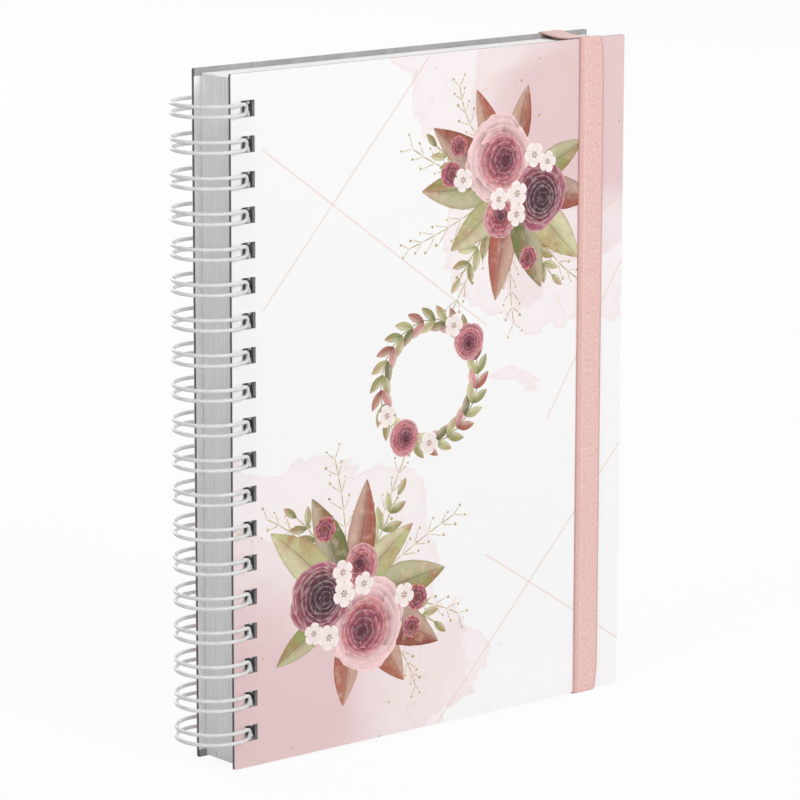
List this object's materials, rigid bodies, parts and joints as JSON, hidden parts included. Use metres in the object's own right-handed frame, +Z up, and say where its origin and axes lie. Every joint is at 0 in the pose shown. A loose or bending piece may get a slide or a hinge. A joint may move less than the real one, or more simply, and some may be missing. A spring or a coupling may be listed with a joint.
{
  "type": "daily planner",
  "caption": "Upright wire-bound daily planner with printed board covers, a punched page block in sections and an elastic band closure.",
  "frame": {"origin": "under the middle of the planner, on the surface it stands on", "axes": "+Z up along the spine, -Y out of the front cover, -X towards the spine, +X towards the fore-edge"},
  "size_m": [0.2032, 0.0288, 0.2556],
  "materials": {
    "cover_print": "satin laminated print",
    "cover_board": "grey board",
    "liner": "uncoated",
    "pages": "uncoated",
    "wire": "gloss white coating",
    "elastic": "woven elastic"
  },
  "bodies": {
    "back_cover": {"back_cover_board": "cover_board", "back_cover_print": "cover_print", "back_cover_liner": "liner"},
    "front_cover": {"front_cover_board": "cover_board", "front_cover_print": "cover_print", "front_cover_liner": "liner", "wire_binding": "wire"},
    "section_01": {"page_section_01": "pages"},
    "section_02": {"page_section_02": "pages"},
    "section_03": {"page_section_03": "pages"},
    "section_04": {"page_section_04": "pages"},
    "section_05": {"page_section_05": "pages"},
    "section_06": {"page_section_06": "pages"},
    "section_07": {"page_section_07": "pages"},
    "section_08": {"page_section_08": "pages"},
    "section_09": {"page_section_09": "pages"},
    "section_10": {"page_section_10": "pages"},
    "section_11": {"page_section_11": "pages"},
    "section_12": {"page_section_12": "pages"},
    "elastic": {"elastic_band": "elastic"}
  },
  "joints": [
    {"name": "front_cover_hinge", "type": "hinge", "parent": "back_cover", "child": "front_cover", "pos_m": [-0.08718, 0, 0], "axis": [0, 0, -1], "range_deg": [0, 180]},
    {"name": "section_01_turn", "type": "hinge", "parent": "back_cover", "child": "section_01", "pos_m": [-0.08718, 0, 0], "axis": [0, 0, -1], "range_deg": [0, 178.2]},
    {"name": "section_02_turn", "type": "hinge", "parent": "back_cover", "child": "section_02", "pos_m": [-0.08718, 0, 0], "axis": [0, 0, -1], "range_deg": [0, 173.7]},
    {"name": "section_03_turn", "type": "hinge", "parent": "back_cover", "child": "section_03", "pos_m": [-0.08718, 0, 0], "axis": [0, 0, -1], "range_deg": [0, 168.3]},
    {"name": "section_04_turn", "type": "hinge", "parent": "back_cover", "child": "section_04", "pos_m": [-0.08718, 0, 0], "axis": [0, 0, -1], "range_deg": [0, 162]},
    {"name": "section_05_turn", "type": "hinge", "parent": "back_cover", "child": "section_05", "pos_m": [-0.08718, 0, 0], "axis": [0, 0, -1], "range_deg": [0, 154.8]},
    {"name": "section_06_turn", "type": "hinge", "parent": "back_cover", "child": "section_06", "pos_m": [-0.08718, 0, 0], "axis": [0, 0, -1], "range_deg": [0, 146.7]},
    {"name": "section_07_turn", "type": "hinge", "parent": "back_cover", "child": "section_07", "pos_m": [-0.08718, 0, 0], "axis": [0, 0, -1], "range_deg": [0, 33.3]},
    {"name": "section_08_turn", "type": "hinge", "parent": "back_cover", "child": "section_08", "pos_m": [-0.08718, 0, 0], "axis": [0, 0, -1], "range_deg": [0, 25.2]},
    {"name": "section_09_turn", "type": "hinge", "parent": "back_cover", "child": "section_09", "pos_m": [-0.08718, 0, 0], "axis": [0, 0, -1], "range_deg": [0, 18]},
    {"name": "section_10_turn", "type": "hinge", "parent": "back_cover", "child": "section_10", "pos_m": [-0.08718, 0, 0], "axis": [0, 0, -1], "range_deg": [0, 11.7]},
    {"name": "section_11_turn", "type": "hinge", "parent": "back_cover", "child": "section_11", "pos_m": [-0.08718, 0, 0], "axis": [0, 0, -1], "range_deg": [0, 6.3]},
    {"name": "section_12_turn", "type": "hinge", "parent": "back_cover", "child": "section_12", "pos_m": [-0.08718, 0, 0], "axis": [0, 0, -1], "range_deg": [0, 1.8]},
    {"name": "elastic_swing", "type": "hinge", "parent": "back_cover", "child": "elastic", "pos_m": [0.08472, 0.0117, 0], "axis": [0, 0, 1], "range_deg": [0, 180], "deforming": ["elastic_band"]}
  ],
  "couplings": [
    {"joint": "section_01_turn", "follows": "front_cover_hinge", "ratio": 0.99},
    {"joint": "section_02_turn", "follows": "front_cover_hinge", "ratio": 0.965},
    {"joint": "section_03_turn", "follows": "front_cover_hinge", "ratio": 0.935},
    {"joint": "section_04_turn", "follows": "front_cover_hinge", "ratio": 0.9},
    {"joint": "section_05_turn", "follows": "front_cover_hinge", "ratio": 0.86},
    {"joint": "section_06_turn", "follows": "front_cover_hinge", "ratio": 0.815},
    {"joint": "section_07_turn", "follows": "front_cover_hinge", "ratio": 0.185},
    {"joint": "section_08_turn", "follows": "front_cover_hinge", "ratio": 0.14},
    {"joint": "section_09_turn", "follows": "front_cover_hinge", "ratio": 0.1},
    {"joint": "section_10_turn", "follows": "front_cover_hinge", "ratio": 0.065},
    {"joint": "section_11_turn", "follows": "front_cover_hinge", "ratio": 0.035},
    {"joint": "section_12_turn", "follows": "front_cover_hinge", "ratio": 0.01},
    {"joint": "elastic_swing", "follows": "front_cover_hinge", "ratio": 1}
  ]
}
